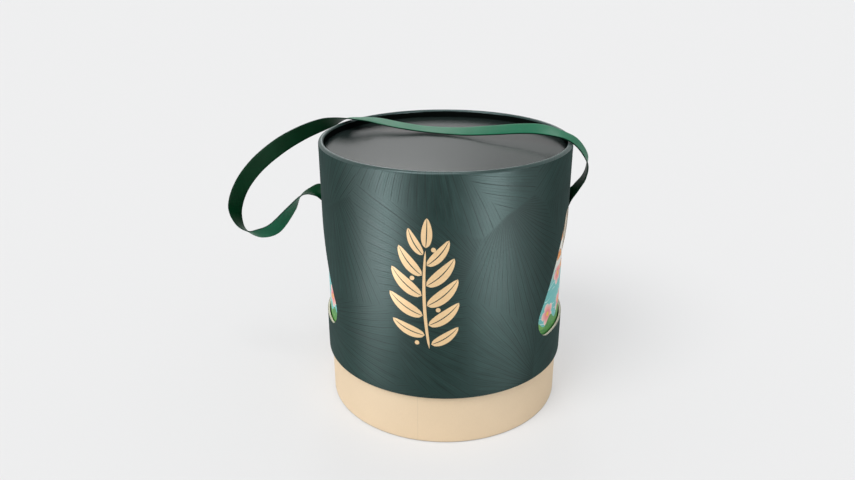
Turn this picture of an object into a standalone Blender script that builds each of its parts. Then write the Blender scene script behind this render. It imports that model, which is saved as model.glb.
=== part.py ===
# Round gift box: a board barrel, a lift-off cover tube with two windows and a recessed top
# panel, and a ribbon strap that passes through a slot in each side of the cover.
# Metres, +Z up. The origin is the centre of the underside, and -Y is the front.

import math

import bmesh
import bpy
from mathutils import Matrix, Vector

# Paper, board and clearances
paper_thickness = 0.0003
glue_gap = 0.0003
barrel_wall = 0.0018
cover_wall = 0.0014
panel_wall = 0.0015
round_segments = 64
arc_steps = 3
smooth_angle_degrees = 35.0
merge_distance = 0.00001
cut_overrun = 0.004

# Barrel, a sliding fit inside the cover's turned-in hem
barrel_clearance = 0.0007
band_height = 0.0700
barrel_turn_in = 0.0100
under_hem_width = 0.0127
under_disc_inset = 0.0018

# Cover
cover_radius = 0.1220
cover_height = 0.2700
cover_hem_level = 0.0520
cover_hem_height = 0.0120
rim_width = 0.0050
rim_outer_round = 0.0030
rim_inner_round = 0.0020
recess_depth = 0.0080
stop_ring_height = 0.0116
seat_gap = 0.0003

# Windows: a rounded triangle laid round the wall, one each side
window_turn_degrees = 80.0
window_apex_radius = 0.0120
window_apex_level = 0.1965
window_corner_radius = 0.0200
window_corner_level = 0.1115
window_corner_offset = 0.0384
window_corner_steps = 8
window_side_steps = 6
window_cutter_reach = 0.0200

# Strap and its slots
strap_width = 0.0180
strap_thickness = 0.0012
strap_level = 0.2070
right_slot_columns = 1
strap_samples = 3
slot_clearance = 0.0005
tab_thickness = 0.0007
tab_gap = 0.0003
tab_columns = 2
strap_exit = 0.0009
span_gap = 0.0003
span_first_station = 16
span_last_station = 24

# Strap route. Each row is a place, as shares of the cover's radius (x and y) and height (z),
# and the way the strap's width points there, from its front edge to its back edge.
strap_route_shares = (
    ((-1.115, 0.018, 0.767), (-0.5, 0.9, 0.2)),
    ((-1.226, 0.046, 0.744), (-0.4, 0.9, -0.4)),
    ((-1.341, 0.092, 0.678), (0.2, 0.9, -0.5)),
    ((-1.521, 0.155, 0.586), (0.4, 0.6, -0.7)),
    ((-1.674, 0.183, 0.554), (0.1, 0.7, -0.8)),
    ((-1.797, 0.213, 0.555), (-0.3, 0.9, -0.4)),
    ((-1.881, 0.237, 0.585), (0.1, 0.9, -0.3)),
    ((-1.917, 0.269, 0.647), (0.6, 0.7, -0.5)),
    ((-1.849, 0.301, 0.734), (0.6, 0.4, -0.8)),
    ((-1.698, 0.325, 0.821), (0.5, 0.3, -0.9)),
    ((-1.483, 0.340, 0.900), (0.4, 0.3, -0.8)),
    ((-1.280, 0.357, 0.953), (0.3, 0.5, -0.9)),
    ((-1.108, 0.377, 0.985), (0.1, 0.6, -0.8)),
    ((-0.994, 0.395, 0.999), (-0.1, 0.8, -0.6)),
    ((-0.877, 0.388, 1.012), (-0.3, 0.9, -0.2)),
    ((-0.789, 0.398, 1.012), (-0.1, 1.0, -0.1)),
    ((-0.708, 0.424, 1.007), (-0.1, 1.0, 0.0)),
    ((-0.605, 0.430, 1.000), (0.0, 1.0, 0.1)),
    ((-0.403, 0.383, 0.990), (0.0, 1.0, 0.1)),
    ((-0.179, 0.362, 0.981), (0.0, 1.0, 0.1)),
    ((0.100, 0.308, 0.983), (-0.1, 1.0, 0.2)),
    ((0.339, 0.252, 0.996), (0.1, 1.0, 0.3)),
    ((0.594, 0.211, 1.010), (0.0, 0.9, 0.3)),
    ((0.759, 0.138, 1.017), (0.2, 0.9, 0.3)),
    ((0.917, -0.008, 1.016), (0.2, 1.0, 0.1)),
    ((1.016, -0.066, 0.999), (0.3, 1.0, 0.0)),
    ((1.096, -0.025, 0.951), (0.3, 0.9, -0.2)),
    ((1.122, 0.014, 0.903), (0.0, 0.9, -0.3)),
    ((1.107, 0.034, 0.860), (-0.1, 1.0, -0.1)),
    ((1.065, 0.048, 0.825), (-0.1, 1.0, 0.1)),
    ((1.026, 0.066, 0.793), (0.1, 0.8, 0.6)),
)

# Levels and radii that follow
sheet_step = paper_thickness + glue_gap
cover_inner_radius = cover_radius - sheet_step - cover_wall
rim_inner_radius = cover_radius - rim_width
panel_level = cover_height - recess_depth
panel_board_top = panel_level - sheet_step
panel_board_bottom = panel_board_top - panel_wall
ceiling_bottom = panel_board_bottom - sheet_step
ring_outer_radius = cover_inner_radius - glue_gap
hem_inner_radius = ring_outer_radius - paper_thickness
barrel_radius = hem_inner_radius - barrel_clearance
ring_inner_radius = rim_inner_radius + sheet_step
stop_ring_top = panel_board_bottom - glue_gap
stop_ring_bottom = stop_ring_top - stop_ring_height
barrel_top = stop_ring_bottom - seat_gap
barrel_board_outer = barrel_radius - sheet_step
barrel_board_inner = barrel_board_outer - barrel_wall
lining_outer = barrel_board_inner - glue_gap
lining_inner = lining_outer - paper_thickness
barrel_board_bottom = 2.0 * sheet_step
floor_board_top = barrel_board_bottom + barrel_wall
round_axis_radius = cover_radius - rim_outer_round


def material(name, colour, roughness, metallic=0.0):
    """One Principled material in a plain colour."""
    mat = bpy.data.materials.new(name)
    mat.use_nodes = True
    shader = mat.node_tree.nodes["Principled BSDF"]
    shader.inputs["Base Color"].default_value = (*colour, 1.0)
    shader.inputs["Roughness"].default_value = roughness
    shader.inputs["Metallic"].default_value = metallic
    mat.diffuse_color = (*colour, 1.0)
    return mat


def add_object(name, mesh_source, mat):
    """Turn a bmesh into a named object with its material, shaded smooth over its round sides."""
    bmesh.ops.recalc_face_normals(mesh_source, faces=mesh_source.faces)
    mesh = bpy.data.meshes.new(name)
    mesh_source.to_mesh(mesh)
    mesh_source.free()
    mesh.shade_smooth()
    mesh.set_sharp_from_angle(angle=math.radians(smooth_angle_degrees))
    if mat is not None:
        mesh.materials.append(mat)
    obj = bpy.data.objects.new(name, mesh)
    bpy.context.scene.collection.objects.link(obj)
    return obj


def turned(name, outline, mat):
    """A closed outline of (radius, level) points, turned round Z by a Screw modifier.

    The outline runs down its outer side and up its inner side.
    """
    mesh = bpy.data.meshes.new(name)
    count = len(outline)
    edges = [(i, (i + 1) % count) for i in range(count)]
    mesh.from_pydata([(radius, 0.0, level) for radius, level in outline], edges, [])
    mesh.materials.append(mat)
    obj = bpy.data.objects.new(name, mesh)
    bpy.context.scene.collection.objects.link(obj)
    screw = obj.modifiers.new("Turn", "SCREW")
    screw.axis = "Z"
    screw.angle = 2.0 * math.pi
    screw.steps = round_segments
    screw.render_steps = round_segments
    screw.use_merge_vertices = True
    screw.merge_threshold = merge_distance
    screw.use_smooth_shade = True
    return obj


def disc(name, radius, bottom, top, mat):
    """A flat round sheet between two levels."""
    shape = bmesh.new()
    bmesh.ops.create_cone(shape, cap_ends=True, segments=round_segments,
                          radius1=radius, radius2=radius, depth=top - bottom)
    bmesh.ops.translate(shape, verts=shape.verts, vec=(0.0, 0.0, 0.5 * (bottom + top)))
    return add_object(name, shape, mat)


def arc(centre_radius, centre_level, radius, start_degrees, end_degrees, steps):
    """Points of an arc in the (radius, level) plane, both ends included."""
    points = []
    for i in range(steps + 1):
        angle = math.radians(start_degrees + (end_degrees - start_degrees) * i / steps)
        points.append((centre_radius + radius * math.cos(angle),
                       centre_level + radius * math.sin(angle)))
    return points


def cut(target, cutter):
    """Leave a live cut on the target."""
    boolean = target.modifiers.new("Cut " + cutter.name, "BOOLEAN")
    boolean.operation = "DIFFERENCE"
    boolean.solver = "EXACT"
    boolean.object = cutter


def guide(obj):
    """Mark an object as a cutter that isn't part of the box."""
    obj.hide_render = True
    obj.display_type = "WIRE"
    return obj


def rounded_outline(circles):
    """Outline round circles (x, z, radius) given counter-clockwise.

    Arcs round the corners are joined by straight sides, in steps that can follow the wall.
    """
    count = len(circles)
    normals = []
    for i in range(count):
        x0, z0, r0 = circles[i]
        x1, z1, r1 = circles[(i + 1) % count]
        distance = math.hypot(x1 - x0, z1 - z0)
        normals.append(math.atan2(z1 - z0, x1 - x0) - math.acos((r0 - r1) / distance))
    corners = []
    for i in range(count):
        x0, z0, r0 = circles[i]
        first = normals[i - 1]
        sweep = (normals[i] - first) % (2.0 * math.pi)
        angles = [first + sweep * k / window_corner_steps for k in range(window_corner_steps + 1)]
        corners.append([(x0 + r0 * math.cos(angle), z0 + r0 * math.sin(angle)) for angle in angles])
    points = []
    for corner, following in zip(corners, corners[1:] + corners[:1]):
        points.extend(corner)
        (x0, z0), (x1, z1) = corner[-1], following[0]
        for k in range(1, window_side_steps):
            along = k / window_side_steps
            points.append((x0 + (x1 - x0) * along, z0 + (z1 - z0) * along))
    return points


def window_cutter(name, side):
    """A wedge with the window's outline, its sides square to the wall and its ends fanned."""
    outline = rounded_outline((
        (0.0, window_apex_level, window_apex_radius),
        (-window_corner_offset, window_corner_level, window_corner_radius),
        (window_corner_offset, window_corner_level, window_corner_radius),
    ))
    middle = side * math.radians(window_turn_degrees)
    count = len(outline)
    centre = (sum(around for around, level in outline) / count,
              sum(level for around, level in outline) / count)
    shape = bmesh.new()
    rings = []
    for radius in (cover_inner_radius - window_cutter_reach, cover_radius + window_cutter_reach):
        ring = []
        for around, level in (*outline, centre):
            angle = middle + around / cover_radius
            ring.append(shape.verts.new((radius * math.sin(angle), -radius * math.cos(angle), level)))
        rings.append(ring)
    inner, outer = rings
    for i in range(count):
        j = (i + 1) % count
        shape.faces.new((inner[i], inner[j], outer[j]))
        shape.faces.new((inner[i], outer[j], outer[i]))
        shape.faces.new((inner[j], inner[i], inner[count]))
        shape.faces.new((outer[i], outer[j], outer[count]))
    return guide(add_object(name, shape, None))


def slot_turn(side):
    """Turn of a slot about the upright axis; the right one lies a little further back."""
    if side < 0.0:
        return Matrix.Identity(3)
    return Matrix.Rotation(right_slot_columns * 2.0 * math.pi / round_segments, 3, "Z")


def slot_cutter(name, side):
    """A box through the cover's wall where the strap passes."""
    inner = cover_inner_radius - cut_overrun
    outer = cover_radius + cut_overrun
    shape = bmesh.new()
    bmesh.ops.create_cube(shape, size=1.0)
    size = (outer - inner, strap_thickness + 2.0 * slot_clearance, strap_width + 2.0 * slot_clearance)
    bmesh.ops.scale(shape, verts=shape.verts, vec=size)
    bmesh.ops.translate(shape, verts=shape.verts, vec=(side * 0.5 * (inner + outer), 0.0, strap_level))
    bmesh.ops.rotate(shape, verts=shape.verts, cent=(0.0, 0.0, 0.0), matrix=slot_turn(side))
    return guide(add_object(name, shape, None))


def curve_through(values, samples):
    """Smooth curve through a list of vectors, with so many samples to each step."""
    padded = [2.0 * values[0] - values[1], *values, 2.0 * values[-1] - values[-2]]
    points = []
    for i in range(1, len(padded) - 2):
        a, b, c, d = padded[i - 1:i + 3]
        for k in range(samples):
            t = k / samples
            points.append(0.5 * (2.0 * b + (c - a) * t + (2.0 * a - 5.0 * b + 4.0 * c - d) * t ** 2
                                 + (3.0 * b - a - 3.0 * c + d) * t ** 3))
    points.append(padded[-2])
    return points


def strap_stations():
    """The route's places and width directions, from the left slot to the right one."""
    exit_radius = cover_radius + strap_exit
    places = [Vector((-exit_radius, 0.0, strap_level))]
    widths = [Vector((0.0, 0.0, 1.0))]
    for place, width in strap_route_shares:
        places.append(Vector((place[0] * cover_radius, place[1] * cover_radius,
                              place[2] * cover_height)))
        widths.append(Vector(width).normalized())
    places.append(slot_turn(1.0) @ Vector((exit_radius, 0.0, strap_level)))
    widths.append(Vector((0.0, 0.0, 1.0)))
    axis = (places[span_last_station] - places[span_first_station]).normalized()
    for station in (span_first_station, span_last_station):
        widths[station] = (widths[station] - axis * widths[station].dot(axis)).normalized()
    return places, widths, axis


def strap_sections():
    """Four corners of the strap's section at each sample, and the hinge line's direction."""
    places, widths, axis = strap_stations()
    centres = curve_through(places, strap_samples)
    across = [width.normalized() for width in curve_through(widths, strap_samples)]
    last = len(centres) - 1
    sections = []
    for i, centre in enumerate(centres):
        along = (centres[min(i + 1, last)] - centres[max(i - 1, 0)]).normalized()
        if i == 0:
            along = Vector((-1.0, 0.0, 0.0))
        if i == last:
            along = slot_turn(1.0) @ Vector((-1.0, 0.0, 0.0))
        if i in (span_first_station * strap_samples, span_last_station * strap_samples):
            along = axis
        normal = along.cross(across[i]).normalized()
        half_width = 0.5 * strap_width * across[i]
        half_depth = 0.5 * strap_thickness * normal
        sections.append([centre - half_width - half_depth, centre + half_width - half_depth,
                         centre + half_width + half_depth, centre - half_width + half_depth])
    return sections, axis


def ribbon(shape, sections, cap_start, cap_end):
    """Skin the sections into a bmesh, in triangles, because the ribbon's sides are twisted."""
    rings = [[shape.verts.new(corner) for corner in section] for section in sections]
    for ring, following in zip(rings, rings[1:]):
        for k in range(4):
            m = (k + 1) % 4
            shape.faces.new((ring[k], ring[m], following[m]))
            shape.faces.new((ring[k], following[m], following[k]))
    if cap_start:
        shape.faces.new(rings[0])
    if cap_end:
        shape.faces.new(rings[-1])


def strap_tab(shape, side):
    """The strap's end: a stub through the slot and a flap that lies along the wall inside.

    Its outer face is left open, for the ribbon that continues it.
    """
    outer = cover_inner_radius - tab_gap
    inner = outer - tab_thickness
    half = 0.5 * strap_thickness
    column = 2.0 * math.pi / round_segments
    outline = [(cover_radius + strap_exit, -half), (cover_radius + strap_exit, half)]
    outline.append((math.sqrt(outer ** 2 - half ** 2), half))
    for i in range(1, tab_columns + 1):
        outline.append((outer * math.cos(i * column), outer * math.sin(i * column)))
    for i in range(tab_columns, 0, -1):
        outline.append((inner * math.cos(i * column), inner * math.sin(i * column)))
    outline.append((math.sqrt(inner ** 2 - half ** 2), -half))
    turn = slot_turn(side)
    low, high = [[shape.verts.new(turn @ Vector((side * x, y, strap_level + rise))) for x, y in outline]
                 for rise in (-0.5 * strap_width, 0.5 * strap_width)]
    count = len(outline)
    for i in range(1, count):
        j = (i + 1) % count
        shape.faces.new((low[i], low[j], high[j], high[i]))
    shape.faces.new(low)
    shape.faces.new(high)


def shifted(section, offset):
    """A section moved bodily."""
    return [corner + offset for corner in section]


for old in list(bpy.data.objects):
    bpy.data.objects.remove(old, do_unlink=True)

dark_paper = material("dark_green_paper", (0.042, 0.062, 0.055), 0.55)
panel_paper_mat = material("panel_paper", (0.045, 0.066, 0.060), 0.50)
beige_paper = material("beige_paper", (0.760, 0.600, 0.400), 0.70)
printed_paper = material("printed_paper", (0.210, 0.560, 0.540), 0.45)
lining_paper = material("lining_paper", (0.820, 0.780, 0.690), 0.80)
grey_board = material("grey_board", (0.700, 0.640, 0.540), 0.90)
strap_cloth = material("green_strap", (0.050, 0.270, 0.150), 0.60)

# Barrel: wall, bottom disc, floor and the papers that cover them
turned("barrel_board", [
    (barrel_board_outer, barrel_top - sheet_step),
    (barrel_board_outer, barrel_board_bottom),
    (barrel_board_inner, barrel_board_bottom),
    (barrel_board_inner, barrel_top - sheet_step),
], grey_board)

turned("base_band_paper", [
    (barrel_radius, band_height - glue_gap),
    (barrel_radius, sheet_step),
    (barrel_radius - under_hem_width, sheet_step),
    (barrel_radius - under_hem_width, sheet_step + paper_thickness),
    (barrel_radius - paper_thickness, sheet_step + paper_thickness),
    (barrel_radius - paper_thickness, band_height - glue_gap),
], beige_paper)

turned("barrel_print_paper", [
    (barrel_radius, barrel_top),
    (barrel_radius, band_height),
    (barrel_radius - paper_thickness, band_height),
    (barrel_radius - paper_thickness, barrel_top - paper_thickness),
    (lining_outer, barrel_top - paper_thickness),
    (lining_outer, barrel_top - barrel_turn_in),
    (lining_inner, barrel_top - barrel_turn_in),
    (lining_inner, barrel_top),
], printed_paper)

turned("barrel_lining", [
    (lining_outer, barrel_top - barrel_turn_in - glue_gap),
    (lining_outer, floor_board_top + glue_gap),
    (lining_inner, floor_board_top + glue_gap),
    (lining_inner, barrel_top - barrel_turn_in - glue_gap),
], lining_paper)

disc("bottom_board", barrel_board_inner - glue_gap, barrel_board_bottom, floor_board_top, grey_board)
disc("bottom_paper", barrel_radius - under_disc_inset, 0.0, paper_thickness, dark_paper)
disc("floor_paper", lining_inner - glue_gap, floor_board_top + glue_gap,
     floor_board_top + sheet_step, lining_paper)

# Cover: board tube, collar and stop ring inside its top, panel, and the wrap over them
cover_arc_radius = rim_outer_round - sheet_step
board_lean = math.degrees(math.acos((cover_inner_radius - round_axis_radius) / cover_arc_radius))
cover_board = turned("cover_board", [
    *reversed(arc(round_axis_radius, cover_height - rim_outer_round, cover_arc_radius,
                  0.0, board_lean, arc_steps)),
    (round_axis_radius + cover_arc_radius, cover_hem_level + sheet_step),
    (cover_inner_radius, cover_hem_level + sheet_step),
], grey_board)

collar_arc_radius = rim_inner_round - sheet_step
collar_shoulder = cover_height - rim_outer_round + math.sqrt(
    cover_arc_radius ** 2 - (ring_outer_radius - round_axis_radius) ** 2)
turned("rim_collar", [
    (ring_outer_radius, collar_shoulder),
    (ring_outer_radius, panel_board_top + glue_gap),
    (ring_inner_radius, panel_board_top + glue_gap),
    *reversed(arc(round_axis_radius, cover_height - rim_inner_round, collar_arc_radius,
                  90.0, 180.0, arc_steps)),
], grey_board)

sheet_inner_radius = cover_radius - paper_thickness
skirt_bottom = panel_board_top + glue_gap
cover_paper = turned("cover_paper", [
    *reversed(arc(round_axis_radius, cover_height - rim_outer_round, rim_outer_round,
                  0.0, 90.0, arc_steps)),
    (cover_radius, cover_hem_level),
    (hem_inner_radius, cover_hem_level),
    (hem_inner_radius, cover_hem_level + cover_hem_height),
    (ring_outer_radius, cover_hem_level + cover_hem_height),
    (ring_outer_radius, cover_hem_level + paper_thickness),
    (sheet_inner_radius, cover_hem_level + paper_thickness),
    *arc(round_axis_radius, cover_height - rim_outer_round, rim_outer_round - paper_thickness,
         0.0, 90.0, arc_steps),
    *arc(round_axis_radius, cover_height - rim_inner_round, rim_inner_round - paper_thickness,
         90.0, 180.0, arc_steps)[1:],
    (rim_inner_radius + paper_thickness, skirt_bottom),
    (rim_inner_radius, skirt_bottom),
    *reversed(arc(round_axis_radius, cover_height - rim_inner_round, rim_inner_round,
                  90.0, 180.0, arc_steps)[1:]),
], dark_paper)

disc("top_panel_board", ring_outer_radius, panel_board_bottom, panel_board_top, grey_board)
disc("top_panel_paper", rim_inner_radius - glue_gap, panel_level - paper_thickness, panel_level,
     panel_paper_mat)
disc("ceiling_paper", rim_inner_radius - glue_gap, ceiling_bottom, ceiling_bottom + paper_thickness,
     lining_paper)
turned("stop_ring", [
    (ring_outer_radius, stop_ring_top),
    (ring_outer_radius, stop_ring_bottom),
    (rim_inner_radius, stop_ring_bottom),
    (rim_inner_radius, stop_ring_top),
], grey_board)

for side_name, side_sign in (("left", -1.0), ("right", 1.0)):
    for cutter_shape in (window_cutter("window_cut_" + side_name, side_sign),
                         slot_cutter("slot_cut_" + side_name, side_sign)):
        cut(cover_board, cutter_shape)
        cut(cover_paper, cutter_shape)

# Strap: two ends fixed in the slots, and the loose span over the lid between them
strap_rings, hinge_axis = strap_sections()
first_cut = span_first_station * strap_samples
last_cut = span_last_station * strap_samples
half_gap = 0.5 * span_gap * hinge_axis

left_shape = bmesh.new()
strap_tab(left_shape, -1.0)
ribbon(left_shape, [*strap_rings[:first_cut], shifted(strap_rings[first_cut], -half_gap)], False, True)
bmesh.ops.remove_doubles(left_shape, verts=left_shape.verts, dist=merge_distance)
add_object("strap_left_end", left_shape, strap_cloth)

right_shape = bmesh.new()
strap_tab(right_shape, 1.0)
ribbon(right_shape, [shifted(strap_rings[last_cut], half_gap), *strap_rings[last_cut + 1:]], True, False)
bmesh.ops.remove_doubles(right_shape, verts=right_shape.verts, dist=merge_distance)
add_object("strap_right_end", right_shape, strap_cloth)

hinge_point = sum(strap_rings[first_cut], Vector()) / 4.0
span_shape = bmesh.new()
span_rings = [shifted(strap_rings[first_cut], half_gap), *strap_rings[first_cut + 1:last_cut],
              shifted(strap_rings[last_cut], -half_gap)]
ribbon(span_shape, [shifted(section, -hinge_point) for section in span_rings], True, True)
strap_span = add_object("strap_span", span_shape, strap_cloth)

# The span hangs on an empty at the point where it swings
span_hinge = bpy.data.objects.new("span_hinge", None)
bpy.context.scene.collection.objects.link(span_hinge)
span_hinge.location = hinge_point
strap_span.parent = span_hinge
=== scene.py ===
# Round gift box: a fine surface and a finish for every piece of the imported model.
# Metres, +Z up, the front at -Y. "Turn" is the angle round the box: 0 at the front, growing to the right.
import math

import bmesh
import bpy
import numpy as np
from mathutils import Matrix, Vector, geometry


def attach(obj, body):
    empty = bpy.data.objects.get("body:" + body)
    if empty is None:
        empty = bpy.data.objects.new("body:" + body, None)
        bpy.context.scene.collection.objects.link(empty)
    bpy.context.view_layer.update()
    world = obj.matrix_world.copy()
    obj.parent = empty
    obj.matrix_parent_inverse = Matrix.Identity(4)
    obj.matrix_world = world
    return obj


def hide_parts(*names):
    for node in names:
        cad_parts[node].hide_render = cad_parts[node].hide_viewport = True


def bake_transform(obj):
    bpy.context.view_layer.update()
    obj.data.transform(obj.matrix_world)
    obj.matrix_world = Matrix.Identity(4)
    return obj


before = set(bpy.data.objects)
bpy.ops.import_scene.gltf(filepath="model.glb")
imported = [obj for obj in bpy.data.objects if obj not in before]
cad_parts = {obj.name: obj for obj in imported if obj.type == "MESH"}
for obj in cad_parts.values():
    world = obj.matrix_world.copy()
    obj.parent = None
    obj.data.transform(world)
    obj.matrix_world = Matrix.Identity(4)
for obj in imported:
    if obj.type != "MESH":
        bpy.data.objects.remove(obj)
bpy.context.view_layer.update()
print("frame loaded:", len(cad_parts), "nodes")

# The camera stands where the photograph was taken from
cameraSpot = {
    "place": (0.06895, -0.68478, 0.44312),
    "turnDegrees": (67.7075, 0.1125, 7.1491),
    "lens": 30.595,
    "sensor": 36.0,
}
scene = bpy.context.scene


def newObject(name, data):
    made = bpy.data.objects.new(name, data)
    scene.collection.objects.link(made)
    return made


cameraData = bpy.data.cameras.new("camera")
cameraData.lens = cameraSpot["lens"]
cameraData.sensor_width = cameraSpot["sensor"]
scene.camera = newObject("camera", cameraData)
scene.camera.location = cameraSpot["place"]
scene.camera.rotation_euler = [math.radians(a) for a in cameraSpot["turnDegrees"]]
scene.view_settings.view_transform = "Standard"

# Sizes shared by several pieces, the same as the solids have
paper = {"thick": 0.0003, "step": 0.0006}  # one sheet, and one sheet with its glue
roundColumns = 288  # columns round every turned piece
millimetre = 0.001


# What a node gives out. Sums on it make Math nodes, so that a pattern reads as its formula.
class NodeValue:
    def __init__(self, socket):
        self.socket = socket
        self.tree = socket.id_data

    def to(self, inlet):
        self.tree.links.new(self.socket, inlet)

    def __add__(self, other):
        return mathOf("ADD", self, other)

    def __sub__(self, other):
        return mathOf("SUBTRACT", self, other)

    def __rsub__(self, other):
        return mathOf("SUBTRACT", other, self)

    def __mul__(self, other):
        return mathOf("MULTIPLY", self, other)

    def __truediv__(self, other):
        return mathOf("DIVIDE", self, other)

    def __abs__(self):
        return mathOf("ABSOLUTE", self)


class NodeOutputs:
    def __init__(self, node):
        self.node = node

    def __getitem__(self, key):
        return NodeValue(self.node.outputs[key])


# Links and plain values alike. A colour is written without its alpha.
def feed(inlets, values):
    for key, value in values.items():
        if isinstance(value, NodeValue):
            value.to(inlets[key])
        else:
            inlets[key].default_value = (*value, 1.0) if inlets[key].type == "RGBA" else value


# Shader building: one line per node
def addNode(tree, kind, inputs=None, **settings):
    made = tree.nodes.new("ShaderNode" + kind)
    for key, value in settings.items():
        setattr(made, key, value)
    feed(made.inputs, inputs or {})
    return NodeOutputs(made)


def mathOf(operation, *values, clamp=False):
    tree = next(value.tree for value in values if isinstance(value, NodeValue))
    return addNode(tree, "Math", dict(enumerate(values)), operation=operation, use_clamp=clamp)[0]


def vectorOf(operation, *values):
    return addNode(values[0].tree, "VectorMath", dict(enumerate(values)), operation=operation)[0]


def partsOf(vector):
    parts = addNode(vector.tree, "SeparateXYZ", {0: vector})
    return parts[0], parts[1], parts[2]


def ramped(value, low, high, toLow=0.0, toHigh=1.0):
    limits = {"Value": value, "From Min": low, "From Max": high, "To Min": toLow, "To Max": toHigh}
    return addNode(value.tree, "MapRange", limits, interpolation_type="SMOOTHSTEP")[0]


def mixColour(share, first, second):
    return addNode(share.tree, "Mix", {0: share, 6: first, 7: second}, data_type="RGBA")[2]


def noiseOf(vector, scale, detail=2.0, roughness=0.5):
    inputs = {"Vector": vector, "Scale": scale, "Detail": detail, "Roughness": roughness}
    return addNode(vector.tree, "TexNoise", inputs)[0]


# A group that takes a place and some numbers, and puts out values that change over the surface
def newGroup(name, numbers, results):
    tree = bpy.data.node_groups.new(name, "ShaderNodeTree")
    tree.interface.new_socket("Place", in_out="INPUT", socket_type="NodeSocketVector")
    for label, value in numbers.items():
        tree.interface.new_socket(label, in_out="INPUT", socket_type="NodeSocketFloat").default_value = value
    for label in results:
        tree.interface.new_socket(label, in_out="OUTPUT", socket_type="NodeSocketFloat")
    return tree, NodeOutputs(tree.nodes.new("NodeGroupInput")), tree.nodes.new("NodeGroupOutput").inputs


def useGroup(group, place, **numbers):
    return addNode(place.tree, "Group", {"Place": place, **numbers}, node_tree=group)


# Paper and board fibre: fine specks for the tone, a softer mottle, and a height for the bump
def fibreGroup():
    tree, given, out = newGroup("fibre", {"Scale": 900.0, "Mottle": 30.0}, ["Tone", "Height"])
    place, scale = given["Place"], given["Scale"]
    fine = noiseOf(place, scale, 3.0, 0.6)
    drawn = noiseOf(vectorOf("MULTIPLY", place, (1.0, 0.22, 1.0)), scale)
    height = fine * 0.5 + drawn * 0.5
    (height * 0.6 + noiseOf(place, given["Mottle"]) * 0.4).to(out["Tone"])
    height.to(out["Height"])
    return tree


# Fans of fine lines: every cell has a root outside it, and dark lines spread from it over the cell like leaf
# veins. "Width" is a line's half width, in shares of a cell.
def veinGroup():
    tree, given, out = newGroup("vein fans", {"Cells": 13.0, "Lines": 9.0, "Width": 0.006},
                                ["Lines", "Streaks", "Tone"])
    scaled = addNode(tree, "VectorMath", {0: given["Place"], "Scale": given["Cells"]}, operation="SCALE")[0]
    warp = addNode(tree, "TexNoise", {"Vector": scaled, "Scale": 0.9, "Detail": 1.0})["Color"]
    warp = vectorOf("MULTIPLY", vectorOf("SUBTRACT", warp, (0.5, 0.5, 0.5)), (0.12, 0.12, 0.0))
    shifted = vectorOf("ADD", vectorOf("ADD", scaled, (3.7, 1.3, 0.0)), warp)
    cellInputs = {"Vector": shifted, "Scale": 1.0, "Randomness": 0.9}
    cells = addNode(tree, "TexVoronoi", cellInputs, voronoi_dimensions="2D")
    chance = addNode(tree, "SeparateColor", {0: cells["Color"]})
    heading = chance[0] * (2.0 * math.pi)
    root = {0: mathOf("COSINE", heading) * 0.95, 1: mathOf("SINE", heading) * 0.95}
    root = addNode(tree, "CombineXYZ", root)[0]
    local = vectorOf("ADD", vectorOf("SUBTRACT", shifted, cells["Position"]), root)
    # the heading is taken off again, so that the step in the angle lies outside the cell
    back = {"Vector": local, "Angle": heading * -1.0}
    x, y = partsOf(addNode(tree, "VectorRotate", back, rotation_type="Z_AXIS")[0])[:2]
    away = mathOf("SQRT", x * x + y * y)
    bent = mathOf("ARCTAN2", y, x) + away * ((chance[1] - 0.5) * 0.14)
    polar = addNode(tree, "CombineXYZ", {0: bent, 1: away * 0.10, 2: chance[2] * 40.0})[0]
    uneven = noiseOf(polar, 9.0, 1.0) * 0.05

    def thinLines(count, widthShare):
        aside = abs(mathOf("FRACT", (bent + uneven) * count) - 0.5) / count * away
        return mathOf("SUBTRACT", 1.0, aside / (given["Width"] * widthShare), clamp=True)

    lines = mathOf("MAXIMUM", thinLines(given["Lines"], 1.0), thinLines(given["Lines"] * 3.0, 0.7) * 0.45)
    # all three fade out at the cell's border, so that the fans run into each other
    border = addNode(tree, "TexVoronoi", cellInputs, voronoi_dimensions="2D", feature="DISTANCE_TO_EDGE")
    border = border["Distance"]
    (lines * ramped(border, 0.0, 0.03, 0.45, 1.0)).to(out["Lines"])
    inside = ramped(border, 0.0, 0.12)
    for label, value in (("Streaks", noiseOf(polar, 26.0, 3.0, 0.6)), ("Tone", chance[2])):
        ((value - 0.5) * inside + 0.5).to(out[label])
    return tree


# Flat weave of a ribbon: fine ribs along it and crossing threads, both from the ribbon's own map
def weaveGroup():
    tree, given, out = newGroup("weave", {"Threads": 2200.0}, ["Tone", "Height"])
    across, along = (part * given["Threads"] for part in partsOf(given["Place"])[:2])
    ribs = mathOf("SINE", across * 2.0)
    height = ribs * 0.5 + mathOf("SINE", along * 2.0 + ribs) * 0.5
    (height * 0.25 + noiseOf(given["Place"], 60.0, 3.0)).to(out["Tone"])
    height.to(out["Height"])
    return tree


fibre = fibreGroup()
veins = veinGroup()
weave = weaveGroup()


def newMaterial(name, roughness, specular, more=None):
    mat = bpy.data.materials.new(name)
    mat.use_nodes = True
    shader = mat.node_tree.nodes["Principled BSDF"]
    feed(shader.inputs, {"Roughness": roughness, "Specular IOR Level": specular, **(more or {})})
    return mat, mat.node_tree, shader


def mapOf(tree, name="wall"):
    return addNode(tree, "UVMap", uv_map=name)[0]


def objectPlace(tree):
    return addNode(tree, "TexCoord")["Object"]


# Joins the colour and the bump to the shader
def finished(mat, shader, colour, height, strength, distance=0.0001):
    bump = addNode(colour.tree, "Bump", {"Height": height, "Strength": strength, "Distance": distance})[0]
    feed(shader.inputs, {"Base Color": colour, "Normal": bump})
    return mat


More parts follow.
